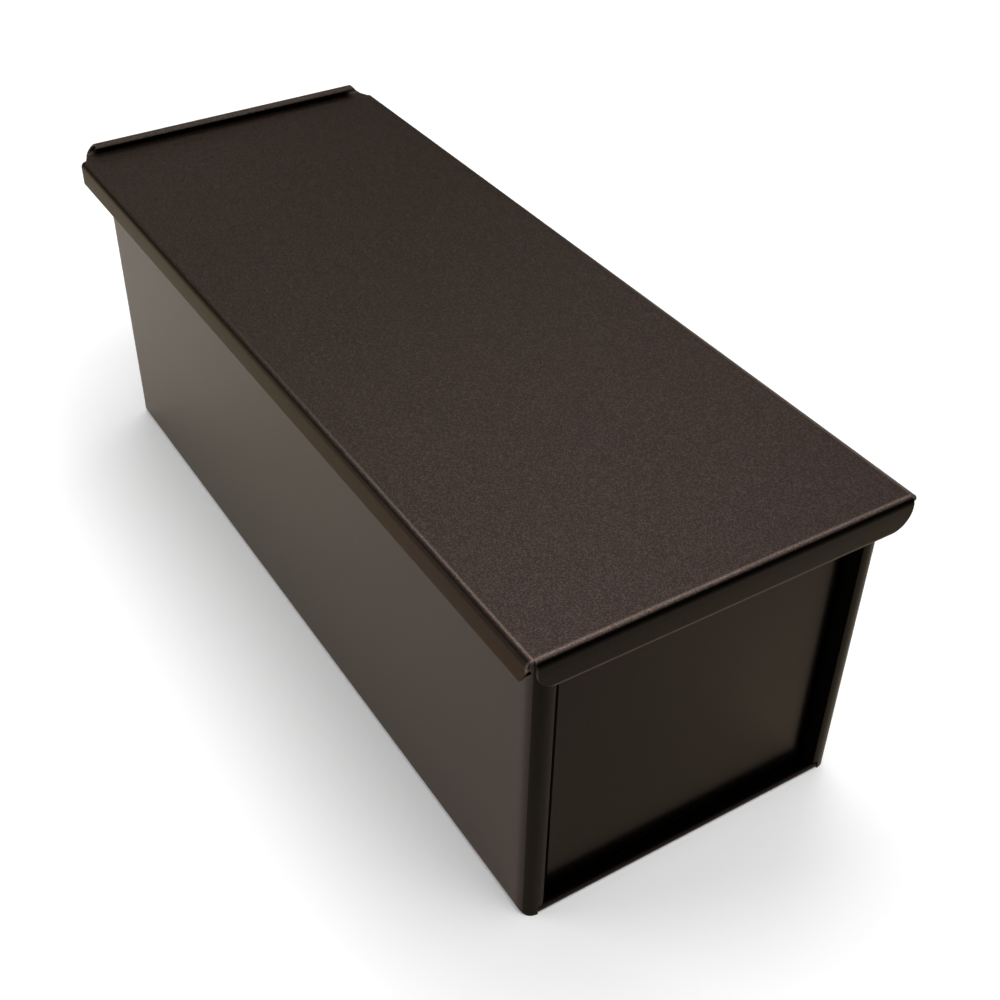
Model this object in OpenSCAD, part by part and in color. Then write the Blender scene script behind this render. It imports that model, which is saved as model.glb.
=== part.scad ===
// Pullman loaf pan: a folded steel tin with a wired rim, and a lid that slides along the rim.
// X runs along the pan and +X is the end that the lid's stop flange covers. Z is up.
// The origin is under the middle of the floor, on the face that rests on the table.

/* [Pan] */
// Length over the two end frames
body_l = 280; // [200:1:400]
// Width over the long walls
body_w = 108.5; // [80:0.5:150]
// Height of the rim above the table
rim_h = 102.1; // [60:0.1:150]
// Thickness of the pan's sheet
sheet_t = 0.8; // [0.6:0.05:1]
// Outer radius of the bend from the floor into a long wall
floor_bend_r = 2.8; // [2:0.1:5]

/* [End frames] */
// Outer radius of the rolled edge at the end of each long wall, which is also the depth of the end recess
curl_r = 4.5; // [3.5:0.1:6]
// Length of the floor's hem that folds back over the end panel's bottom flange
hem_l = 1.4; // [0.8:0.1:2.2]
// How far round the rolled edge the end panel's side flange follows, in degrees
flange_wrap = 70; // [30:5:100]
// Width of the slit that parts the floor's hem from the rolled edges
hem_slit = 0.4; // [0.3:0.1:1]

/* [Rim] */
// Diameter of the wire inside the rim
wire_d = 2.6; // [2:0.1:4]
// Space round the wire inside the rolled rim
wire_gap = 0.1; // [0.05:0.01:0.2]
// Radius of the wire's centre line at the four corners
rim_corner_r = 7; // [6:0.1:10]
// Outer radius of the shoulder where an end panel turns out to the rim
shoulder_r = 3; // [2:0.1:3.6]
// How far the ends of the rim stand beyond the end frames
end_reach = 3.6; // [3:0.1:5]
// How far a side rim is rolled round its wire, in degrees
side_roll = 300; // [270:5:310]
// How far an end rim is rolled round its wire, in degrees
end_roll = 250; // [220:5:265]
// Drop from the underside of the rim to the trimmed top of the wall corners
corner_drop = 0.4; // [0.3:0.1:2]
// Gap between two sheets that are folded together
fold_gap = 0.05; // [0.03:0.01:0.1]
// Gap where a side rim meets a corner of an end rim
butt_gap = 0.2; // [0.1:0.05:0.5]

/* [Lid] */
// Thickness of the lid's sheet
lid_t = 0.8; // [0.6:0.05:1.2]
// Clearance over the top of the rim
top_clear = 0.3; // [0.25:0.05:1]
// Clearance between a side channel and the side rim
side_clear = 0.35; // [0.3:0.05:1]
// Clearance between the stop flange and the end rim when the lid is home
stop_clear = 0.3; // [0.25:0.05:1]
// Clearance between the edge of a channel's lower leaf and the long wall
leaf_clear = 0.6; // [0.4:0.05:1.5]
// Height of the side channels
channel_h = 9.3; // [8:0.1:14]
// Height of the stop flange
flange_h = 9.25; // [7:0.05:14]
// Radius of the stop flange's lower corners
flange_corner_r = 6; // [2:0.1:9]
// Outer radius of the bend into a side channel
lid_bend_r = 2; // [1.4:0.1:3]
// Outer radius of the bend at the bottom of a side channel
leaf_bend_r = 1.4; // [1.1:0.1:2.4]
// Outer radius of the bend into the stop flange
stop_bend_r = 2.2; // [1.4:0.1:3]
// Length of the notch between a side channel and the stop flange
notch_l = 1.4; // [0.8:0.1:3]
// How far the side channels run past the far end frame
far_reach = 9; // [6:0.1:20]

/* [Pull lip] */
// How far the plate runs on past the side channels to where the lip's roll starts
lip_reach = 3.5; // [1:0.1:8]
// Outer radius of the lip's roll
lip_r = 2.3; // [1.8:0.1:4]
// How far the lip is rolled up and back over the plate, in degrees
lip_roll = 240; // [120:5:240]
// How far the plate narrows on each side from the channels to the lip
lip_inset = 1.5; // [0.5:0.1:6]

/* [Channel ends] */
// Height of the square part of a channel's near end
end_square_h = 2.2; // [1.9:0.1:4]
// Height of the slanted part of a channel's near end
end_slant_h = 4.8; // [2:0.1:6]
// How far the slant runs back
end_slant_l = 2.4; // [1:0.1:6]
// How far the foot of the cut runs back again
end_foot_l = 2; // [1:0.1:6]

/* [Hidden] */
$fn = 64;

coat_pan = [0.27, 0.24, 0.22];
coat_panel = [0.21, 0.18, 0.16];
coat_lid = [0.3, 0.26, 0.25];
wire_steel = [0.62, 0.62, 0.6];

half_l = body_l / 2;
half_w = body_w / 2;

// rolled rim
wire_r = wire_d / 2;
bead_in = wire_r + wire_gap;
bead_out = bead_in + sheet_t;
bead_z = rim_h - bead_out;
bead_y = half_w - sheet_t + bead_out;
bead_x = half_l + end_reach - bead_out;
corner_x = bead_x - rim_corner_r;
corner_y = bead_y - rim_corner_r;

// end frames
curl_x = half_l - curl_r;
curl_y = half_w - curl_r;
wall_top = bead_z - bead_out - corner_drop;
hem_r = (3 * sheet_t + 2 * fold_gap) / 2;
hem_x = half_l - hem_r;
hem_half = curl_y - hem_slit;
foot_z = 2 * hem_r + hem_slit;

// end panels
panel_in = curl_x - sheet_t;
panel_half = half_w - sheet_t - fold_gap;
shoulder_x = panel_in + shoulder_r;
shoulder_z = rim_h - shoulder_r;

// lid
lid_top = rim_h + top_clear + lid_t;
lid_half = bead_y + bead_out + side_clear + lid_t;
plate_half = lid_half - lid_bend_r;
stop_x = bead_x + bead_out + stop_clear + lid_t;
flat_end = stop_x - stop_bend_r;
channel_near = stop_x - notch_l;
channel_far = -half_l - far_reach;
channel_z = lid_top - channel_h;
flange_z = lid_top - flange_h;
leaf_y = half_w + leaf_clear;
lip_x = channel_far - lip_reach;
lip_half = plate_half - lip_inset;

// a fan of angles a0 to a1 that reaches beyond a circle of radius r
module fan(r, a0, a1) {
    steps = ceil((a1 - a0) / 40);
    reach = r * 1.5;
    polygon(concat([[0, 0]], [for (i = [0:steps]) reach * [cos(a0 + (a1 - a0) * i / steps),
        sin(a0 + (a1 - a0) * i / steps)]]));
}

// the section of a bend in a sheet t thick, from angle a0 to angle a1,
// with a straight run on from each end of it
module bend(outer, t, a0, a1, run0 = 0, run1 = 0) {
    intersection() {
        difference() {
            circle(outer);
            circle(outer - t);
        }
        fan(outer, a0, a1);
    }
    if (run0 > 0) rotate(a0) translate([outer - t, -run0]) square([t, run0]);
    if (run1 > 0) rotate(a1) translate([outer - t, 0]) square([t, run1]);
}

// lays a drawing of (Y, Z) along X from x0 to x1
module along_x(x0, x1) {
    translate([x0, 0, 0]) rotate([90, 0, 90]) linear_extrude(x1 - x0) children();
}

// lays a drawing of (X, Z) along Y, over half to each side
module along_y(half) {
    rotate([90, 0, 0]) linear_extrude(2 * half, center = true) children();
}

// the pan's cross-section up to height top, drawn in by inset from its outer faces
module trough(inset, top) {
    half = half_w - inset;
    r = floor_bend_r - inset;
    translate([-half, inset + r]) square([2 * half, top - inset - r]);
    translate([-half + r, inset]) square([2 * (half - r), top - inset]);
    for (side = [-1, 1]) translate([side * (half - r), inset + r]) circle(r);
}

module both_sides() {
    children();
    mirror([0, 1, 0]) children();
}

module both_ends() {
    children();
    mirror([1, 0, 0]) children();
}

// floor and long walls, with the side rims rolled outwards
module wall_sheet() {
    along_x(-curl_x, curl_x) difference() {
        trough(0, wall_top);
        trough(sheet_t, wall_top + sheet_t);
    }
    both_sides() along_x(-corner_x + butt_gap, corner_x - butt_gap) translate([bead_y, bead_z])
        bend(bead_out, sheet_t, 180 - side_roll, 180, 0, bead_z - wall_top + sheet_t);
}

// the rolled edge that closes the end of a long wall
module wall_curl() {
    difference() {
        intersection() {
            translate([curl_x, curl_y, 0]) linear_extrude(wall_top) bend(curl_r, sheet_t, -90, 90, 0, sheet_t);
            along_x(curl_x - sheet_t, half_l) trough(0, wall_top);
        }
        translate([curl_x, curl_y - 2 * curl_r, -sheet_t]) cube([2 * curl_r, 2 * curl_r, foot_z + sheet_t]);
    }
}

// the floor's end, folded back over the end panel's bottom flange
module floor_hem() {
    along_y(hem_half) translate([hem_x, hem_r])
        bend(hem_r, sheet_t, -90, 90, hem_x - curl_x + sheet_t, hem_l);
}

module body_sheet() {
    color(coat_pan) union() {
        wall_sheet();
        both_ends() {
            both_sides() wall_curl();
            floor_hem();
        }
    }
}

// the rim at one corner, rolled round the bend of the wire
module rim_corner() {
    translate([corner_x, corner_y, 0]) rotate_extrude(angle = 90)
        translate([rim_corner_r, bead_z]) bend(bead_out, sheet_t, 90 - end_roll, 90, 0, sheet_t);
    translate([0, 0, rim_h - sheet_t]) linear_extrude(sheet_t) difference() {
        intersection() {
            translate([corner_x, corner_y]) circle(rim_corner_r);
            translate([corner_x, corner_y]) square(rim_corner_r);
        }
        square([shoulder_x, panel_half]);
    }
}

// a pressed tray: a flat face, flanges on three sides and a shoulder that rolls into the end rim
module end_panel() {
    color(coat_panel) union() {
        along_x(panel_in, curl_x) trough(sheet_t + fold_gap, shoulder_z);
        along_y(panel_half) translate([shoulder_x, shoulder_z])
            bend(shoulder_r, sheet_t, 90, 180, sheet_t, sheet_t);
        along_y(corner_y) translate([bead_x, bead_z])
            bend(bead_out, sheet_t, 90 - end_roll, 90, 0, bead_x - shoulder_x);
        both_sides() {
            rim_corner();
            panel_side_flange();
        }
        translate([panel_in, -hem_half, sheet_t + fold_gap])
            cube([hem_x - fold_gap - panel_in, 2 * hem_half, sheet_t]);
    }
}

// the panel's side edge, rolled up inside the long wall's rolled edge
module panel_side_flange() {
    translate([curl_x, curl_y, foot_z]) linear_extrude(wall_top - foot_z)
        bend(curl_r - sheet_t - fold_gap, sheet_t, 90 - flange_wrap, 90, 0, sheet_t);
}

// one loop of wire inside the rim
module rim_wire() {
    color(wire_steel) union() {
        both_sides() translate([-corner_x, bead_y, bead_z]) rotate([0, 90, 0]) cylinder(h = 2 * corner_x, r = wire_r);
        both_ends() translate([bead_x, corner_y, bead_z]) rotate([90, 0, 0]) cylinder(h = 2 * corner_y, r = wire_r);
        both_ends() both_sides() translate([corner_x, corner_y, bead_z])
            rotate_extrude(angle = 90) translate([rim_corner_r, 0]) circle(wire_r);
    }
}

// the section of a channel: edge bend, side band, lower bend and lower leaf.
// The edge bend runs on over the lid by lap.
module channel_section(lap = 0) {
    translate([plate_half, lid_top - lid_bend_r])
        bend(lid_bend_r, lid_t, 0, 90, channel_h - lid_bend_r - leaf_bend_r, lap);
    translate([lid_half - leaf_bend_r, channel_z + leaf_bend_r])
        bend(leaf_bend_r, lid_t, -90, 0, lid_half - leaf_bend_r - leaf_y, lid_t);
}

// what is cut off the near end of a channel, drawn in (X, Z)
module channel_end_cut() {
    top = lid_top - end_square_h;
    polygon([[channel_near, top], [channel_near - end_slant_l, top - end_slant_h],
        [channel_near - end_slant_l - end_foot_l, channel_z - lid_t],
        [stop_x, channel_z - lid_t], [stop_x, top]]);
}

module side_channels() {
    difference() {
        both_sides() {
            along_x(channel_far, channel_near) channel_section();
            along_x(channel_far, flat_end) channel_section(lid_t);
        }
        along_y(lid_half + lid_t) channel_end_cut();
    }
}

// flange that meets the end rim, with rounded lower corners
module stop_flange() {
    r = min(flange_corner_r, flange_h - lid_t);
    intersection() {
        along_y(plate_half) translate([flat_end, lid_top - stop_bend_r])
            bend(stop_bend_r, lid_t, 0, 90, flange_h - stop_bend_r, lid_t);
        along_x(flat_end - lid_t, stop_x) {
            translate([-plate_half + r, flange_z]) square([2 * (plate_half - r), flange_h]);
            translate([-plate_half, flange_z + r]) square([2 * plate_half, flange_h - r]);
            for (side = [-1, 1]) translate([side * (plate_half - r), flange_z + r]) circle(r);
        }
    }
}

// the far edge of the lid, rolled up and back over the plate, with its ends cut at 45 degrees
module pull_lip() {
    tall = 2 * lip_r - lid_t;
    intersection() {
        along_y(lip_half) translate([lip_x, lid_top - lid_t + lip_r])
            bend(lip_r, lid_t, 270 - lip_roll, 270, 0, lid_t);
        along_x(lip_x - lip_r, lip_x + lip_r) polygon([[-lip_half, lid_top - lid_t], [-lip_half, lid_top],
            [-lip_half + tall, lid_top + tall], [lip_half - tall, lid_top + tall],
            [lip_half, lid_top], [lip_half, lid_top - lid_t]]);
    }
}

// the lid's flat top, which narrows to the pull lip
module plate() {
    translate([0, 0, lid_top - lid_t]) linear_extrude(lid_t)
        polygon([[flat_end, -plate_half], [flat_end, plate_half], [channel_far, plate_half],
            [lip_x, lip_half], [lip_x, -lip_half], [channel_far, -plate_half]]);
}

module lid() {
    color(coat_lid) union() {
        plate();
        side_channels();
        stop_flange();
        pull_lip();
    }
}

body_sheet();
end_panel();  // near_end_panel
mirror([1, 0, 0]) end_panel();  // far_end_panel
rim_wire();
lid();
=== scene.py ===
import math

import bmesh
import bpy
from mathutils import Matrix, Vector


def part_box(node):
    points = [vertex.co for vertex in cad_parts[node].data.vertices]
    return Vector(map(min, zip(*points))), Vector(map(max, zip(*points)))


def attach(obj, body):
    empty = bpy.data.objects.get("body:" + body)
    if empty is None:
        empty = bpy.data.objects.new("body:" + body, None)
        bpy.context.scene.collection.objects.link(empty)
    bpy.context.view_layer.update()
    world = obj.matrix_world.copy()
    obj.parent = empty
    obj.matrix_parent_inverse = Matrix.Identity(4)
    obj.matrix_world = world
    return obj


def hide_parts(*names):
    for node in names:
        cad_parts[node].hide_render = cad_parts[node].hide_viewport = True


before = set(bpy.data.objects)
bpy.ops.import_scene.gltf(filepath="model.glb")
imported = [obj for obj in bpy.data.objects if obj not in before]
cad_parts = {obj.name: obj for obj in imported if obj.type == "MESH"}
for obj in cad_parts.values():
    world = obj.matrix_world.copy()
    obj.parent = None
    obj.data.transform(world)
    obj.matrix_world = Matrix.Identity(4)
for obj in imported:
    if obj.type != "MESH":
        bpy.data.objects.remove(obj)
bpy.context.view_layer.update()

mm = 0.001
lidLow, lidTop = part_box("lid")[0] / mm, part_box("lid")[1] / mm  # the lid's corners in millimetres

# camera, fitted to the photograph's edges; place and clip are in metres, lens and sensor in millimetres
cameraSettings = {
    "place": (0.32404, -0.18466, 0.32565),
    "forward": (-0.66338, 0.39788, -0.63373),
    "lens": 50.88,
    "sensor": 36,
    "shift": (0.04, 0.015),
    "clip": (0.01, 30),
}


def addCamera(settings):
    data = bpy.data.cameras.new("productCamera")
    data.lens = settings["lens"]
    data.sensor_width = settings["sensor"]
    data.shift_x, data.shift_y = settings["shift"]
    data.clip_start, data.clip_end = settings["clip"]
    camera = bpy.data.objects.new("productCamera", data)
    camera.location = settings["place"]
    camera.rotation_euler = Vector(settings["forward"]).to_track_quat("-Z", "Y").to_euler()
    bpy.context.collection.objects.link(camera)
    bpy.context.scene.camera = camera


addCamera(cameraSettings)
print("camera placed")

# soft lamps round the tin over white paper; turn and rise are degrees round it and above it,
# power is in watts and sizes are in metres
studioSettings = {
    "lamps": {
        "overRightLamp": {"turn": 0, "rise": 65, "power": 7.2},
        "overFarLamp": {"turn": 60, "rise": 65, "power": 3.2},
        "lowLeftLamp": {"turn": 240, "rise": 5, "power": 15.6},
        "backLamp": {"turn": 150, "rise": 70, "power": 4.2},
        "nearGlintLamp": {"turn": 140, "rise": 60, "power": 3.4},
        "backRightLamp": {"turn": 120, "rise": 35, "power": 0.5},
        "farLamp": {"turn": 180, "rise": 20, "power": 0.5},
    },
    "lampTarget": (0, 0, 0.05),
    "lampDistance": 1.2,
    "lampSize": 0.8,
    "worldColor": (1.0, 0.985, 0.96),
    "worldStrength": 0.02,
    "floorSize": 40,
    "paperColor": (0.94, 0.94, 0.94),
    "paperRough": 0.9,
    "paperShine": 0.1,
    "paperGlow": 0.15,
    "glowReach": (0.4, 1.6),
    "grainScale": 400,
    "grainTone": 0.985,
}


def feed(tree, socket, given):
    # a socket takes a plain value, or what another node puts out
    if isinstance(given, bpy.types.NodeSocket):
        tree.links.new(given, socket)
    else:
        socket.default_value = given


def addMath(tree, operation, *given):
    step = tree.nodes.new("ShaderNodeMath")
    step.operation = operation
    for socket, value in zip(step.inputs, given):
        feed(tree, socket, value)
    return step.outputs["Value"]


def addRange(tree, value, fromRange, toRange=(0, 1)):
    step = tree.nodes.new("ShaderNodeMapRange")
    names = ("Value", "From Min", "From Max", "To Min", "To Max")
    for name, given in zip(names, (value, *fromRange, *toRange)):
        feed(tree, step.inputs[name], given)
    return step.outputs["Result"]


def addMix(tree, factor, first, second):
    step = tree.nodes.new("ShaderNodeMix")
    step.data_type = "RGBA"
    for name, given in (("Factor", factor), ("A", first), ("B", second)):
        feed(tree, step.inputs[name], given)
    return step.outputs["Result"]


def addNoise(tree, place, scale):
    noise = tree.nodes.new("ShaderNodeTexNoise")
    feed(tree, noise.inputs["Vector"], place)
    feed(tree, noise.inputs["Scale"], scale)
    return noise.outputs["Fac"]


def addPlace(tree):
    # an object's own coordinates, whole and axis by axis
    place = tree.nodes.new("ShaderNodeTexCoord").outputs["Object"]
    split = tree.nodes.new("ShaderNodeSeparateXYZ")
    feed(tree, split.inputs["Vector"], place)
    return place, split.outputs


def addLamp(name, settings, studio):
    data = bpy.data.lights.new(name, "AREA")
    data.shape = "SQUARE"
    data.size = studio["lampSize"]
    data.energy = settings["power"]
    lamp = bpy.data.objects.new(name, data)
    turn = math.radians(settings["turn"])
    rise = math.radians(settings["rise"])
    way = Vector((math.cos(rise) * math.cos(turn), math.cos(rise) * math.sin(turn), math.sin(rise)))
    lamp.location = Vector(studio["lampTarget"]) + way * studio["lampDistance"]
    lamp.rotation_euler = (-way).to_track_quat("-Z", "Y").to_euler()
    bpy.context.collection.objects.link(lamp)


def makePaper(settings):
    # white paper that glows a little where the camera or a reflection sees it, under its own shading
    paper = bpy.data.materials.new("paperFloor")
    paper.use_nodes = True
    tree = paper.node_tree
    shader = tree.nodes["Principled BSDF"]
    shader.inputs["Roughness"].default_value = settings["paperRough"]
    shader.inputs["Specular IOR Level"].default_value = settings["paperShine"]
    place = tree.nodes.new("ShaderNodeTexCoord").outputs["Object"]
    grain = addNoise(tree, place, settings["grainScale"])
    pale = settings["paperColor"]
    dull = [settings["grainTone"] * part for part in pale]
    feed(tree, shader.inputs["Base Color"], addMix(tree, grain, (*pale, 1), (*dull, 1)))
    rays = tree.nodes.new("ShaderNodeLightPath").outputs
    seen = rays["Is Camera Ray"]
    for kind in ("Is Glossy Ray", "Is Transmission Ray"):
        seen = addMath(tree, "MAXIMUM", seen, rays[kind])
    # the glow makes up for the lamps' fall-off further out
    away = tree.nodes.new("ShaderNodeVectorMath")
    away.operation = "LENGTH"
    feed(tree, away.inputs[0], place)
    glow = addRange(tree, away.outputs["Value"], settings["glowReach"], (settings["paperGlow"], 1))
    shader.inputs["Emission Color"].default_value = (1, 1, 1, 1)
    feed(tree, shader.inputs["Emission Strength"], addMath(tree, "MULTIPLY", seen, glow))
    return paper


def addStudio(settings):
    world = bpy.data.worlds.new("studioWorld")
    bpy.context.scene.world = world
    world.use_nodes = True
    background = world.node_tree.nodes["Background"]
    background.inputs["Color"].default_value = (*settings["worldColor"], 1)
    background.inputs["Strength"].default_value = settings["worldStrength"]
    for name, lamp in settings["lamps"].items():
        addLamp(name, lamp, settings)
    bm = bmesh.new()
    bmesh.ops.create_grid(bm, x_segments=1, y_segments=1, size=settings["floorSize"] / 2)
    data = bpy.data.meshes.new("studioFloor")
    bm.to_mesh(data)
    bm.free()
    floor = bpy.data.objects.new("studioFloor", data)
    bpy.context.collection.objects.link(floor)
    data.materials.append(makePaper(settings))


addStudio(studioSettings)
bpy.context.scene.view_settings.view_transform = "Standard"
print("studio lit")


def startGroup(name, inputs, outputs):
    # inputs and outputs give the kind of socket that goes with each name
    group = bpy.data.node_groups.new(name, "ShaderNodeTree")
    for way, sockets in (("INPUT", inputs), ("OUTPUT", outputs)):
        for socketName, kind in sockets.items():
            group.interface.new_socket(socketName, in_out=way, socket_type=kind)
    given = group.nodes.new("NodeGroupInput").outputs
    result = group.nodes.new("NodeGroupOutput").inputs
    return group, given, result


def placeGroup(tree, group, values):
    node = tree.nodes.new("ShaderNodeGroup")
    node.node_tree = group
    for name, value in values.items():
        feed(tree, node.inputs[name], value)
    return node.outputs


colorKind, floatKind = "NodeSocketColor", "NodeSocketFloat"

# a fleck gets stronger as its cell's random number rises through its range;
# the clouds sway the painted colour cast by their reach in metres
fleckAndCastSettings = {
    "fleckRange": (0.5, 1),
    "fleckGloss": 0.2,
    "cloudScale": 14,
    "cloudReach": 0.12,
    "castRange": (0, 0.19),
}


def makeFleckAndCastGroup(settings):
    # brown coat with fine mica flecks: colour, roughness and height that change over the surface, and a
    # painted colour cast of the light along the tin
    inputs = {
        "Coat Color": colorKind,
        "Far Cast Color": colorKind,
        "Fleck Color": colorKind,
        "Fleck Amount": floatKind,
        "Fleck Scale": floatKind,
        "Rough": floatKind,
    }
    outputs = {"Color": colorKind, "Roughness": floatKind, "Height": floatKind}
    group, given, result = startGroup("micaFleckAndLightCast", inputs, outputs)
    place, axes = addPlace(group)
    cells = group.nodes.new("ShaderNodeTexVoronoi")
    feed(group, cells.inputs["Vector"], place)
    feed(group, cells.inputs["Scale"], given["Fleck Scale"])
    randoms = group.nodes.new("ShaderNodeSeparateColor")
    feed(group, randoms.inputs["Color"], cells.outputs["Color"])
    chance = addRange(group, randoms.outputs["Red"], settings["fleckRange"])
    amount = addMath(group, "MULTIPLY", chance, given["Fleck Amount"])
    # painted colour cast of the light: the coat turns slowly from olive at the far end to a redder brown at
    # the near end
    clouds = addNoise(group, place, settings["cloudScale"])
    sway = addMath(group, "MULTIPLY_ADD", clouds, settings["cloudReach"], axes["X"])
    along = addRange(group, sway, settings["castRange"])
    paintedCast = addMix(group, along, given["Far Cast Color"], given["Coat Color"])
    feed(group, result["Color"], addMix(group, amount, paintedCast, given["Fleck Color"]))
    rough = addMath(group, "MULTIPLY_ADD", amount, -settings["fleckGloss"], given["Rough"])
    feed(group, result["Roughness"], rough)
    feed(group, result["Height"], randoms.outputs["Green"])
    return group


# insets place lines on the lid, in millimetres inwards from its near, side and top faces, by the axis that
# ends their name: Edge and Stop carry a painted highlight, Groove a painted shade, and Top and Side are the
# heights where they end;
# the other lengths are in metres
edgeLightSettings = {
    "insets": {
        "Edge X": 1.8,
        "Edge Y": 1.7,
        "Groove X": 0.4,
        "Groove Y": 0.4,
        "Top Z": 8,
        "Side Z": 5.6,
        "Stop Z": 12.8,
    },
    "nearReach": 0.0007,
    "sideReach": 0.0006,
    "stopReach": 0.0006,
    "grooveReach": 0.0008,
    "sideFade": (-0.05, 0.14),
    "stopShare": 0.35,
    "grainScale": 2200,
    "grainRange": (0.35, 0.65),
    "grainLow": 0.25,
}


def bandMask(tree, value, centre, reach):
    # 1 on a line, falling to 0 at its reach
    away = addMath(tree, "ABSOLUTE", addMath(tree, "SUBTRACT", value, centre))
    return addRange(tree, away, (0, reach), (1, 0))


def addProduct(tree, *masks):
    product = masks[0]
    for mask in masks[1:]:
        product = addMath(tree, "MULTIPLY", product, mask)
    return product


def makeEdgeLightGroup(settings):
    # sheet edges of the lid: a painted highlight where they turn down, painted shade in the turn below
    inputs = {"Color": colorKind, "Highlight Color": colorKind, "Edge Light Amount": floatKind}
    for line in settings["insets"]:
        inputs[line] = floatKind
    group, given, result = startGroup("paintedEdgeHighlightAndShade", inputs, {"Color": colorKind})
    place, axes = addPlace(group)
    side = addMath(group, "ABSOLUTE", axes["Y"])
    high = addMath(group, "GREATER_THAN", axes["Z"], given["Top Z"])
    # the painted highlight runs along the near edge's whole length, and along the sides less and less towards
    # the far end
    nearLine = bandMask(group, axes["X"], given["Edge X"], settings["nearReach"])
    sideLine = bandMask(group, side, given["Edge Y"], settings["sideReach"])
    sideLine = addProduct(group, sideLine, addRange(group, axes["X"], settings["sideFade"]))
    grain = addNoise(group, place, settings["grainScale"])
    spark = addRange(group, grain, settings["grainRange"], (settings["grainLow"], 1))
    highlight = addProduct(group, addMath(group, "MAXIMUM", nearLine, sideLine), spark, high)
    # a fainter painted highlight runs along the lower edge of the stop flange
    stopLine = bandMask(group, axes["Z"], given["Stop Z"], settings["stopReach"])
    beyond = addMath(group, "GREATER_THAN", axes["X"], given["Groove X"])
    stopLine = addProduct(group, stopLine, beyond, settings["stopShare"])
    highlight = addProduct(group, addMath(group, "MAXIMUM", highlight, stopLine), given["Edge Light Amount"])
    highlighted = addMix(group, highlight, given["Color"], given["Highlight Color"])
    # painted shade: black in the turn below the near edge and along the sides
    grooveShade = addProduct(group, bandMask(group, axes["X"], given["Groove X"], settings["grooveReach"]), high)
    aboveSide = addMath(group, "GREATER_THAN", axes["Z"], given["Side Z"])
    sideGroove = bandMask(group, side, given["Groove Y"], settings["grooveReach"])
    sideGroove = addProduct(group, sideGroove, aboveSide)
    grooveShade = addProduct(group, addMath(group, "MAXIMUM", grooveShade, sideGroove), given["Edge Light Amount"])
    feed(group, result["Color"], addMix(group, grooveShade, highlighted, (0, 0, 0, 1)))
    return group


fleckAndCastGroup = makeFleckAndCastGroup(fleckAndCastSettings)
edgeLightGroup = makeEdgeLightGroup(edgeLightSettings)
edgeLightLines = {
    line: (lidTop["XYZ".index(line[-1])] - inset) * mm
    for line, inset in edgeLightSettings["insets"].items()
}

# what every coat shares; the bump's depth is in metres
coatSettings = {
    "fleckScale": 3400,
    "highlightColor": (0.20, 0.155, 0.13),
    "bumpDepth": 0.0001,
    "ior": 1.3,
}
# metal is the share of metal flake in the coat, and shine the warm tint that its reflections take on
lidCoat = {
    "coat": (0.0165, 0.0100, 0.0080),
    "far": (0.0130, 0.0088, 0.0052),
    "fleck": (0.20, 0.135, 0.125),
    "amount": 0.19,
    "rough": 0.44,
    "bump": 0.3,
    "specular": 0.5,
    "metal": 0.35,
    "shine": (0.95, 0.77, 0.66),
    "edgeLight": 0.8,
}
panCoat = {
    "coat": (0.0175, 0.0115, 0.0105),
    "far": (0.0165, 0.0140, 0.0090),
    "fleck": (0.12, 0.085, 0.07),
    "amount": 0.04,
    "rough": 0.34,
    "bump": 0.15,
    "specular": 0.38,
    "metal": 0.45,
    "shine": (0.90, 0.76, 0.63),
    "edgeLight": 0,
}
# painted shade: the end panels take a darker, less shiny copy of the pan's coat
shadedPanelCoat = {
    **panCoat,
    "coat": (0.0045, 0.0032, 0.0026),
    "far": (0.0045, 0.0036, 0.0024),
    "rough": 0.22,
    "specular": 0.26,
    "metal": 0.55,
    "shine": (0.80, 0.66, 0.53),
}
# painted shade: the lid's side faces take a copy of the pan's coat with less shine, a little darker than the
# walls
shadedSideCoat = {
    **panCoat,
    "coat": (0.0170, 0.0110, 0.0095),
    "amount": 0.08,
    "rough": 0.42,
    "specular": 0.2,
    "metal": 0.8,
    "shine": (0.66, 0.58, 0.50),
    "edgeLight": 0.9,
}
# painted shade: the rolled ends of the walls and the lid's stop flange, faces that look along the tin, take a
# darker copy of the pan's coat, as dark as the end panels
shadedEndCoat = {
    **panCoat,
    "coat": (0.0040, 0.0030, 0.0020),
    "far": (0.0040, 0.0033, 0.0020),
    "amount": 0.03,
    "rough": 0.36,
    "bump": 0.2,
    "specular": 0.22,
    "metal": 0.5,
    "shine": (0.72, 0.60, 0.46),
    "edgeLight": 0.95,
}
# painted shade: a near-black copy of the pan's coat for the ledge at the foot of the end panels, deep in the
# recess, and for the inner sides of the rolled wall ends
ledgeShadeCoat = {
    **panCoat,
    "coat": (0.0012, 0.0009, 0.0007),
    "far": (0.0012, 0.0010, 0.0007),
    "fleck": (0.02, 0.015, 0.012),
    "amount": 0.03,
    "rough": 0.45,
    "bump": 0.3,
    "specular": 0.1,
    "metal": 0.9,
    "shine": (0.28, 0.24, 0.20),
}


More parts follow.
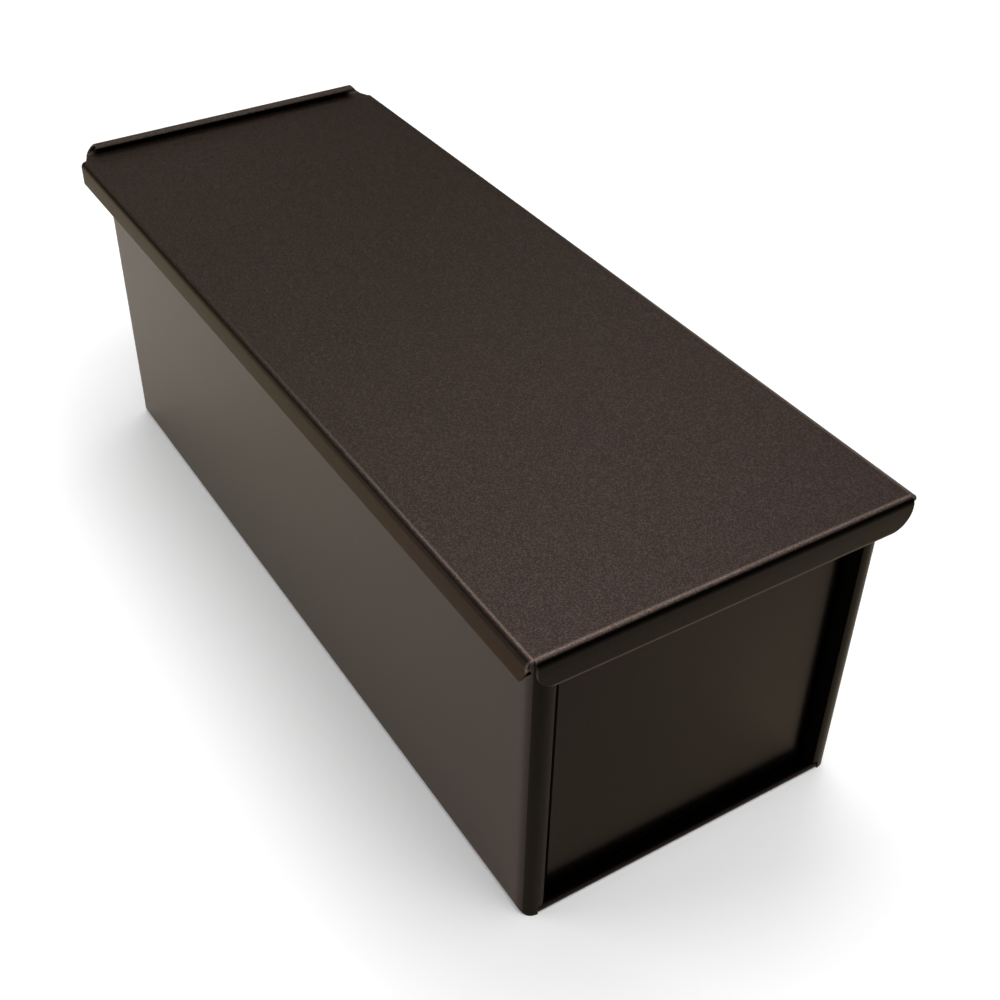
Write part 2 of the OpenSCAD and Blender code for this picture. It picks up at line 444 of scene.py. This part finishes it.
def makeCoat(name, settings):
    material = bpy.data.materials.new(name)
    material.use_nodes = True
    tree = material.node_tree
    coat = placeGroup(tree, fleckAndCastGroup, {
        "Coat Color": (*settings["coat"], 1),
        "Far Cast Color": (*settings["far"], 1),
        "Fleck Color": (*settings["fleck"], 1),
        "Fleck Amount": settings["amount"],
        "Fleck Scale": coatSettings["fleckScale"],
        "Rough": settings["rough"],
    })
    highlighted = placeGroup(tree, edgeLightGroup, {
        "Color": coat["Color"],
        "Highlight Color": (*coatSettings["highlightColor"], 1),
        "Edge Light Amount": settings["edgeLight"],
        **edgeLightLines,
    })
    bump = tree.nodes.new("ShaderNodeBump")
    bump.inputs["Strength"].default_value = settings["bump"]
    bump.inputs["Distance"].default_value = coatSettings["bumpDepth"]
    feed(tree, bump.inputs["Height"], coat["Height"])
    shader = tree.nodes["Principled BSDF"]
    feed(tree, shader.inputs["Base Color"], highlighted["Color"])
    feed(tree, shader.inputs["Roughness"], coat["Roughness"])
    feed(tree, shader.inputs["Normal"], bump.outputs["Normal"])
    shader.inputs["IOR"].default_value = coatSettings["ior"]
    shader.inputs["Metallic"].default_value = settings["metal"]
    shader.inputs["Specular IOR Level"].default_value = settings["specular"]
    shader.inputs["Specular Tint"].default_value = (*settings["shine"], 1)
    return material


wireSettings = {
    "color": (0.55, 0.54, 0.52),
    "grainScale": 900,
    "roughRange": (0.25, 0.5),
}


def makeWireSteel(settings):
    material = bpy.data.materials.new("drawnWire")
    material.use_nodes = True
    tree = material.node_tree
    shader = tree.nodes["Principled BSDF"]
    shader.inputs["Metallic"].default_value = 1
    shader.inputs["Base Color"].default_value = (*settings["color"], 1)
    place = tree.nodes.new("ShaderNodeTexCoord").outputs["Object"]
    grain = addNoise(tree, place, settings["grainScale"])
    feed(tree, shader.inputs["Roughness"], addRange(tree, grain, (0, 1), settings["roughRange"]))
    return material


finishes = {
    "lid_coating": makeCoat("lidCoating", lidCoat),
    "pan_coating": makeCoat("panCoating", panCoat),
    "panel_coating": makeCoat("panelShadeCoating", shadedPanelCoat),
    "wire": makeWireSteel(wireSettings),
    "ends": makeCoat("endShadeCoating", shadedEndCoat),
    "sides": makeCoat("sideShadeCoating", shadedSideCoat),
    "ledge": makeCoat("ledgeShadeCoating", ledgeShadeCoat),
}
print("finishes made")

# sheet metal work in millimetres: an edge is run on straight or round a bend, and the sheet gets its
# thickness last
slack = 0.01  # how far a corner may lie off the line that it is looked for on
cutReach = 1e-3  # corners this near to a cutting plane lie on it
weldReach = 1e-4  # corners this near to each other are one
speckSize = 1e-5  # edges shorter than this are dropped
alongX, alongY, alongZ = (1, 0, 0), (0, 1, 0), (0, 0, 1)
edgeSettings = {
    "round": 0.14,
    "segments": 2,
    "sharpAngle": 50,
}


def isAt(value, line):
    return abs(value - line) < slack


def runPoint(bm, end, step):
    made = bmesh.ops.extrude_vert_indiv(bm, verts=[end])["verts"][0]
    made.co += Vector(step)
    return made


def bendPoint(bm, end, centre, axis, degrees, steps):
    made = bmesh.ops.spin(bm, geom=[end], cent=centre, axis=axis, angle=math.radians(degrees), steps=steps)
    return [item for item in made["geom_last"] if isinstance(item, bmesh.types.BMVert)][0]


def runEdges(bm, edges, step):
    made = bmesh.ops.extrude_edge_only(bm, edges=edges)["geom"]
    bmesh.ops.translate(bm, vec=step, verts=[item for item in made if isinstance(item, bmesh.types.BMVert)])
    return [item for item in made if isinstance(item, bmesh.types.BMEdge)]


def bendEdges(bm, edges, centre, axis, degrees, steps):
    geometry = list({corner for edge in edges for corner in edge.verts}) + edges
    made = bmesh.ops.spin(bm, geom=geometry, cent=centre, axis=axis, angle=math.radians(degrees), steps=steps)
    return [item for item in made["geom_last"] if isinstance(item, bmesh.types.BMEdge)]


def edgesWhere(edges, test):
    # edges whose two ends both pass the test
    return [edge for edge in edges if all(test(corner.co) for corner in edge.verts)]


def freeEdges(bm, test):
    # the same among edges with at most one face
    return edgesWhere([edge for edge in bm.edges if len(edge.link_faces) < 2], test)


def runsAcross(edge):
    first, second = edge.verts
    return not isAt(first.co.y, second.co.y)


def facesWhere(bm, test):
    return [face for face in bm.faces if test(face.calc_center_median())]


def trimFlat(bm, faces, point, way):
    # cuts away what lies beyond a plane
    around = list({item for face in faces for item in (*face.verts, *face.edges)})
    bmesh.ops.bisect_plane(
        bm, geom=around + faces, dist=cutReach, plane_co=point, plane_no=way, clear_outer=True)


def trimRound(bm, test, centre, radius, cuts):
    # rounds a lower corner seen along X with planes that touch its circle
    for step in range(cuts):
        turn = math.radians(90 * (step + 0.5) / cuts)
        way = Vector((0, math.sin(turn), -math.cos(turn)))
        trimFlat(bm, facesWhere(bm, test), Vector(centre) + radius * way, way)


def mirrorOver(bm, axis):
    bmesh.ops.mirror(bm, geom=bm.verts[:] + bm.edges[:] + bm.faces[:], merge_dist=weldReach, axis=axis)


def faceOutwards(bm, point, way):
    # turns the whole sheet so that its face nearest the point looks that way
    bmesh.ops.recalc_face_normals(bm, faces=bm.faces)
    near = min(bm.faces, key=lambda face: (face.calc_center_median() - Vector(point)).length)
    near.normal_update()
    if near.normal.dot(Vector(way)) < 0:
        bmesh.ops.reverse_faces(bm, faces=bm.faces)


def addSheet(bm, name, node, body, slotName, sheet, facing, otherCoats):
    # facing is a point on the sheet and the way that its face looks there;
    # otherCoats pairs each further finish with the test of its faces' centre and normal
    bmesh.ops.remove_doubles(bm, verts=bm.verts, dist=weldReach)
    bmesh.ops.dissolve_degenerate(bm, dist=speckSize, edges=bm.edges)
    faceOutwards(bm, *facing)
    for face in bm.faces:
        face.smooth = True
        face.normal_update()
        for coatIndex, (_, test) in enumerate(otherCoats, 1):
            if test(face.calc_center_median(), face.normal):
                face.material_index = coatIndex
    bmesh.ops.scale(bm, vec=(mm, mm, mm), verts=bm.verts)
    data = bpy.data.meshes.new(name)
    bm.to_mesh(data)
    bm.free()
    data.materials.append(finishes[slotName])
    for finish, _ in otherCoats:
        data.materials.append(finishes[finish])
    piece = bpy.data.objects.new(name, data)
    bpy.context.collection.objects.link(piece)
    thicken = piece.modifiers.new("sheetThickness", "SOLIDIFY")
    thicken.thickness = sheet * mm
    thicken.offset = -1
    thicken.use_even_offset = True
    thicken.use_quality_normals = True
    soften = piece.modifiers.new("edgeRound", "BEVEL")
    soften.width = edgeSettings["round"] * mm
    soften.segments = edgeSettings["segments"]
    soften.limit_method = "ANGLE"
    soften.angle_limit = math.radians(edgeSettings["sharpAngle"])
    soften.harden_normals = True
    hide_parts(node)
    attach(piece, body)


# sizes in millimetres and turns in degrees; steps and cuts are the faces that make up a bend or a corner;
# a facing is the share of its normal above which a face takes another coat
panSettings = {
    "sheet": 0.8,
    "floorBend": 2.8,
    "beadInner": 1.4,
    "sideRoll": 300,
    "endRoll": 250,
    "rimCorner": 7,
    "buttGap": 0.2,
    "cornerDrop": 0.4,
    "curl": 4.5,
    "hemRadius": 1.25,
    "hemLength": 1.4,
    "hemSlit": 0.4,
    "foldGap": 0.05,
    "flangeWrap": 70,
    "shoulder": 3,
    "bendSteps": 8,
    "sideRollSteps": 24,
    "endRollSteps": 22,
    "rimSteps": 10,
    "hemSteps": 10,
    "wallCuts": 6,
    "panelCuts": 5,
    "endFacing": 0.6,
    "ledgeFacing": 0.8,
    "innerFacing": 0.4,
}
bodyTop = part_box("body_sheet")[1] / mm
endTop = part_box("near_end_panel")[1] / mm

beadOuter = panSettings["beadInner"] + panSettings["sheet"]
beadX = endTop.x - beadOuter
beadY = bodyTop.y - beadOuter
beadZ = bodyTop.z - beadOuter
wallY = beadY - panSettings["beadInner"]
wallTop = beadZ - beadOuter - panSettings["cornerDrop"]
cornerX = beadX - panSettings["rimCorner"]
cornerY = beadY - panSettings["rimCorner"]
curlX = bodyTop.x - panSettings["curl"]
curlY = wallY - panSettings["curl"]
hemHalf = curlY - panSettings["hemSlit"]
footZ = 2 * panSettings["hemRadius"] + panSettings["hemSlit"]


def addBody(settings):
    bm = bmesh.new()
    bend = settings["floorBend"]
    bendY = wallY - bend
    steps = settings["bendSteps"]
    # half of the trough's outline, from the middle of the floor to the rolled rim
    point = bm.verts.new((0, 0, 0))
    point = runPoint(bm, point, (0, hemHalf, 0))
    point = runPoint(bm, point, (0, bendY - hemHalf, 0))
    point = bendPoint(bm, point, (0, bendY, bend), alongX, 90, steps)
    point = runPoint(bm, point, (0, 0, footZ - bend))
    point = runPoint(bm, point, (0, 0, wallTop - footZ))
    point = runPoint(bm, point, (0, 0, beadZ - wallTop))
    bendPoint(bm, point, (0, beadY, beadZ), alongX, -settings["sideRoll"], settings["sideRollSteps"])
    rimEnd = cornerX - settings["buttGap"]
    edges = runEdges(bm, bm.edges[:], (rimEnd, 0, 0))
    edges = edgesWhere(edges, lambda c: c.x > rimEnd - slack and c.z < wallTop + slack)
    runEdges(bm, edges, (curlX - rimEnd, 0, 0))
    # rolled edge at the end of the long wall, run down to the table first
    isWallEnd = lambda c: c.x > curlX - slack and c.y > wallY - slack
    foot = min((v for v in bm.verts if isWallEnd(v.co)), key=lambda v: v.co.z)
    runPoint(bm, foot, (0, 0, -foot.co.z))
    edges = bendEdges(bm, freeEdges(bm, isWallEnd), (curlX, curlY, 0), alongZ, -90, steps)
    edges = edgesWhere(edges, lambda c: c.z > footZ - slack)
    bendEdges(bm, edges, (curlX, curlY, 0), alongZ, -90, steps)
    isCurl = lambda c: c.x > curlX + slack and c.y > curlY
    trimRound(bm, isCurl, (0, bendY, bend), bend, settings["wallCuts"])
    # floor folded back over the end panel's bottom flange
    edges = freeEdges(bm, lambda c: isAt(c.x, curlX) and c.z < slack and c.y < hemHalf + slack)
    hemRadius = settings["hemRadius"]
    hemX = bodyTop.x - hemRadius
    edges = runEdges(bm, edges, (hemX - curlX, 0, 0))
    edges = bendEdges(bm, edges, (hemX, 0, hemRadius), alongY, -180, settings["hemSteps"])
    runEdges(bm, edges, (-settings["hemLength"], 0, 0))
    mirrorOver(bm, "Y")
    mirrorOver(bm, "X")

    def isEnd(centre, normal):
        # rolled wall ends that look along the tin, clear of the hem between their feet: these take the
        # painted shade
        clearOfHem = centre.z > footZ or abs(centre.y) > hemHalf
        return abs(centre.x) > curlX and abs(normal.x) > settings["endFacing"] and clearOfHem

    def isLedge(centre, normal):
        # top of the hem, and the sides of the rolled wall ends that look at each other: these take the
        # painted shade
        top = normal.z > settings["ledgeFacing"] and centre.z < footZ and abs(centre.y) < curlY
        inner = normal.y * centre.y < -settings["innerFacing"] * abs(centre.y)
        return abs(centre.x) > curlX and (top or inner)

    addSheet(bm, "foldedBody", "body_sheet", "pan", "pan_coating", settings["sheet"],
             ((0, 0, 0), (0, 0, -1)), [("ends", isEnd), ("ledge", isLedge)])


def addEndPanel(settings, name, node, farSide):
    bm = bmesh.new()
    sheet = settings["sheet"]
    steps = settings["bendSteps"]
    inset = sheet + settings["foldGap"]
    flangeZ = inset + sheet
    flangeTip = bodyTop.x - settings["hemRadius"] - settings["foldGap"]
    shoulderX = curlX + settings["shoulder"] - sheet
    shoulderZ = endTop.z - settings["shoulder"]
    flatZ = endTop.z - sheet
    panelHalf = wallY - inset
    flangeY = panelHalf - sheet
    # outline in the middle of the tin: bottom flange, face, shoulder and rolled rim
    point = bm.verts.new((flangeTip, 0, flangeZ))
    point = runPoint(bm, point, (curlX - flangeTip, 0, 0))
    point = runPoint(bm, point, (0, 0, footZ - flangeZ))
    point = runPoint(bm, point, (0, 0, wallTop - footZ))
    point = runPoint(bm, point, (0, 0, shoulderZ - wallTop))
    point = bendPoint(bm, point, (shoulderX, 0, shoulderZ), alongY, 90, steps)
    point = runPoint(bm, point, (beadX - shoulderX, 0, 0))
    bendPoint(bm, point, (beadX, 0, beadZ), alongY, settings["endRoll"], settings["endRollSteps"])
    runEdges(bm, bm.edges[:], (0, cornerY, 0))
    # bottom flange and face run on to the hem's end, then the face and shoulder alone
    edges = freeEdges(bm, lambda c: isAt(c.y, cornerY) and (c.x < shoulderX + slack or isAt(c.z, flangeZ)))
    runEdges(bm, edges, (0, hemHalf - cornerY, 0))
    edges = freeEdges(bm, lambda c: isAt(c.y, hemHalf) and c.x < shoulderX + slack)
    flange = edgesWhere(edges, lambda c: isAt(c.z, flangeZ))
    runEdges(bm, [edge for edge in edges if edge not in flange], (0, flangeY - hemHalf, 0))
    foot = freeEdges(bm, lambda c: isAt(c.z, flangeZ) and c.y > hemHalf - slack and c.x < curlX + slack)
    runEdges(bm, [edge for edge in foot if runsAcross(edge)], (0, 0, inset - flangeZ))
    # side flange that the wall's end curls round; below it and above it the face runs flat to the wall
    edges = freeEdges(bm, lambda c: isAt(c.y, flangeY) and footZ - slack < c.z < wallTop + slack)
    bendEdges(bm, edges, (curlX, curlY, 0), alongZ, -settings["flangeWrap"], steps)
    edges = freeEdges(bm, lambda c: isAt(c.y, flangeY) and c.z < footZ + slack)
    edges += freeEdges(bm, lambda c: isAt(c.y, flangeY) and c.z > wallTop - slack)
    runEdges(bm, [edge for edge in edges if not runsAcross(edge)], (0, panelHalf - flangeY, 0))
    lowBend = settings["floorBend"] - inset
    isLowCorner = lambda c: c.z < footZ and c.y > hemHalf
    trimRound(bm, isLowCorner, (0, panelHalf - lowBend, inset + lowBend), lowBend, settings["panelCuts"])
    # rim roll round the wire's corner, and the flat inside it
    rollStart = freeEdges(bm, lambda c: isAt(c.y, cornerY) and c.x > beadX - beadOuter and c.z > wallTop)
    flat = edgesWhere(rollStart, lambda c: isAt(c.z, flatZ))
    rollStart = [edge for edge in rollStart if edge not in flat]
    bendEdges(bm, rollStart, (cornerX, cornerY, 0), alongZ, 90, settings["rimSteps"])
    tip = min(bm.verts, key=lambda v: (v.co - Vector((shoulderX, panelHalf, flatZ))).length)
    tip = runPoint(bm, tip, (cornerX - shoulderX, 0, 0))
    runPoint(bm, tip, (0, beadY - panelHalf, 0))
    bmesh.ops.remove_doubles(bm, verts=bm.verts, dist=weldReach)
    ring = freeEdges(bm, lambda c: isAt(c.z, flatZ) and c.y > cornerY - slack)
    bmesh.ops.contextual_create(bm, geom=ring)
    mirrorOver(bm, "Y")
    side = -1 if farSide else 1
    bmesh.ops.scale(bm, vec=(side, 1, 1), verts=bm.verts)
    # the panel's foot takes the near-black painted shade
    isFoot = lambda centre, normal: centre.z < footZ
    addSheet(bm, name, node, "pan", "panel_coating", sheet,
             ((side * curlX, 0, endTop.z / 2), (side, 0, 0)), [("ledge", isFoot)])


addBody(panSettings)
addEndPanel(panSettings, "nearEndTray", "near_end_panel", False)
addEndPanel(panSettings, "farEndTray", "far_end_panel", True)
print("pan folded")

# the same units; the near end of each channel is cut square, then at a slant, then at the foot
lidSettings = {
    "sheet": 0.8,
    "sideBend": 2,
    "leafBend": 1.4,
    "stopBend": 2.2,
    "stopCorner": 6,
    "stopHeight": 9.25,
    "leafGap": 0.6,
    "endNotch": 1.4,
    "endSquare": 2.2,
    "endSlant": (2.4, 4.8),
    "endFoot": (2, 3.1),
    "lipRadius": 2.3,
    "lipRoll": 240,
    "lipReach": 3.5,
    "lipInset": 1.5,
    "bendSteps": 10,
    "leafSteps": 8,
    "lipSteps": 24,
    "cornerCuts": 9,
    "coatFacing": 0.6,
}


def addLid(settings):
    bm = bmesh.new()
    sheet = settings["sheet"]
    steps = settings["bendSteps"]
    sideBend = settings["sideBend"]
    leafBend = settings["leafBend"]
    stopBend = settings["stopBend"]
    lipRadius = settings["lipRadius"]
    lipInner = lipRadius - sheet
    plateZ = lidTop.z - lipRadius - lipInner
    plateHalf = lidTop.y - sideBend
    flatEnd = lidTop.x - stopBend
    lipX = lidLow.x + lipRadius
    lipHalf = plateHalf - settings["lipInset"]
    stopZ = plateZ - settings["stopHeight"]
    channelNear = lidTop.x - settings["endNotch"]
    channelFar = lipX + settings["lipReach"]
    channelZ = lidLow.z
    # stop flange, plate and rolled lip as one strip
    point = bm.verts.new((lidTop.x, 0, stopZ))
    point = runPoint(bm, point, (0, 0, settings["stopHeight"] - stopBend))
    point = bendPoint(bm, point, (flatEnd, 0, plateZ - stopBend), alongY, -90, steps)
    point = runPoint(bm, point, (channelFar - flatEnd, 0, 0))
    point = runPoint(bm, point, (lipX - channelFar, 0, 0))
    bendPoint(bm, point, (lipX, 0, plateZ + lipInner), alongY, settings["lipRoll"], settings["lipSteps"])
    runEdges(bm, bm.edges[:], (0, lipHalf, 0))
    # the plate narrows to the lip between the channels' far ends
    onPlate = lambda c: isAt(c.z, plateZ)
    lipEnd = freeEdges(bm, lambda c: isAt(c.y, lipHalf) and onPlate(c) and c.x < channelFar + slack)
    taper = {corner for edge in lipEnd for corner in edge.verts if corner.co.x > lipX - slack}
    besideChannel = lambda c: isAt(c.y, lipHalf) and c.x > channelFar - slack and c.z < plateZ + slack
    runEdges(bm, freeEdges(bm, besideChannel), (0, plateHalf - lipHalf, 0))
    channelCorner = Vector((channelFar, plateHalf, plateZ))
    taper.update(v for v in bm.verts if (v.co - channelCorner).length < slack)
    bmesh.ops.contextual_create(bm, geom=list(taper))
    # ends of the roll, cut at a slant
    slant = Vector((0, 2 * lipInner, 2 * lipInner + sheet)).normalized()
    isRoll = lambda c: c.x < lipX + lipRadius and c.z > plateZ + slack
    trimFlat(bm, facesWhere(bm, isRoll), (0, lipHalf, plateZ), slant)
    # channel along the side: turned down, then in under the rim
    edges = freeEdges(bm, lambda c: isAt(c.y, plateHalf) and onPlate(c) and c.x < flatEnd + slack)
    edges = bendEdges(bm, edges, (0, plateHalf, plateZ - sideBend), alongX, -90, steps)
    edges = runEdges(bm, edges, (0, 0, channelZ + leafBend - (plateZ - sideBend)))
    leafY = lidTop.y - leafBend
    edges = bendEdges(bm, edges, (0, leafY, channelZ + leafBend), alongX, -90, settings["leafSteps"])
    runEdges(bm, edges, (0, wallY + settings["leafGap"] - leafY, 0))
    onLeaf = lambda c: c.z < channelZ + slack
    onSide = lambda c: c.z < plateZ + slack and c.y > plateHalf - slack
    edges = freeEdges(bm, lambda c: isAt(c.x, flatEnd) and (onSide(c) or onLeaf(c)))
    runEdges(bm, edges, (channelNear - flatEnd, 0, 0))
    # slanted near end of the channel
    squareZ = plateZ - settings["endSquare"]
    slantX, slantZ = settings["endSlant"]
    footX, footDrop = settings["endFoot"]
    isBand = lambda c: c.x < channelNear and c.z < plateZ - slack and (c.y > plateHalf or onLeaf(c))
    slantWay = Vector((slantZ, 0, -slantX)).normalized()
    trimFlat(bm, facesWhere(bm, isBand), (channelNear, 0, squareZ), slantWay)
    footWay = Vector((footDrop, 0, -footX)).normalized()
    trimFlat(bm, facesWhere(bm, isBand), (channelNear - slantX, 0, squareZ - slantZ), footWay)
    # rounded corners of the stop flange
    corner = settings["stopCorner"]
    isFlange = lambda c: c.x > flatEnd and c.y < plateHalf and c.z < plateZ
    trimRound(bm, isFlange, (0, plateHalf - corner, stopZ + corner), corner, settings["cornerCuts"])
    mirrorOver(bm, "Y")
    # the stop flange's front faces take the painted shade coat
    isStop = lambda centre, normal: centre.x > flatEnd and normal.x > settings["coatFacing"]
    # the lid's side faces take the painted shade coat
    isSide = lambda centre, normal: abs(centre.y) > plateHalf and abs(normal.y) > settings["coatFacing"]
    addSheet(bm, "slidingLid", "lid", "lid", "lid_coating", sheet,
             ((0, 0, plateZ), (0, 0, 1)), [("ends", isStop), ("sides", isSide)])


addLid(lidSettings)
print("lid folded")

nodeFinish = {
    "body_sheet": "pan_coating",
    "near_end_panel": "panel_coating",
    "far_end_panel": "panel_coating",
    "rim_wire": "wire",
    "lid": "lid_coating",
}
for nodeName, finish in nodeFinish.items():
    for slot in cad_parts[nodeName].material_slots:
        slot.material = finishes[finish]
print("solids dressed")
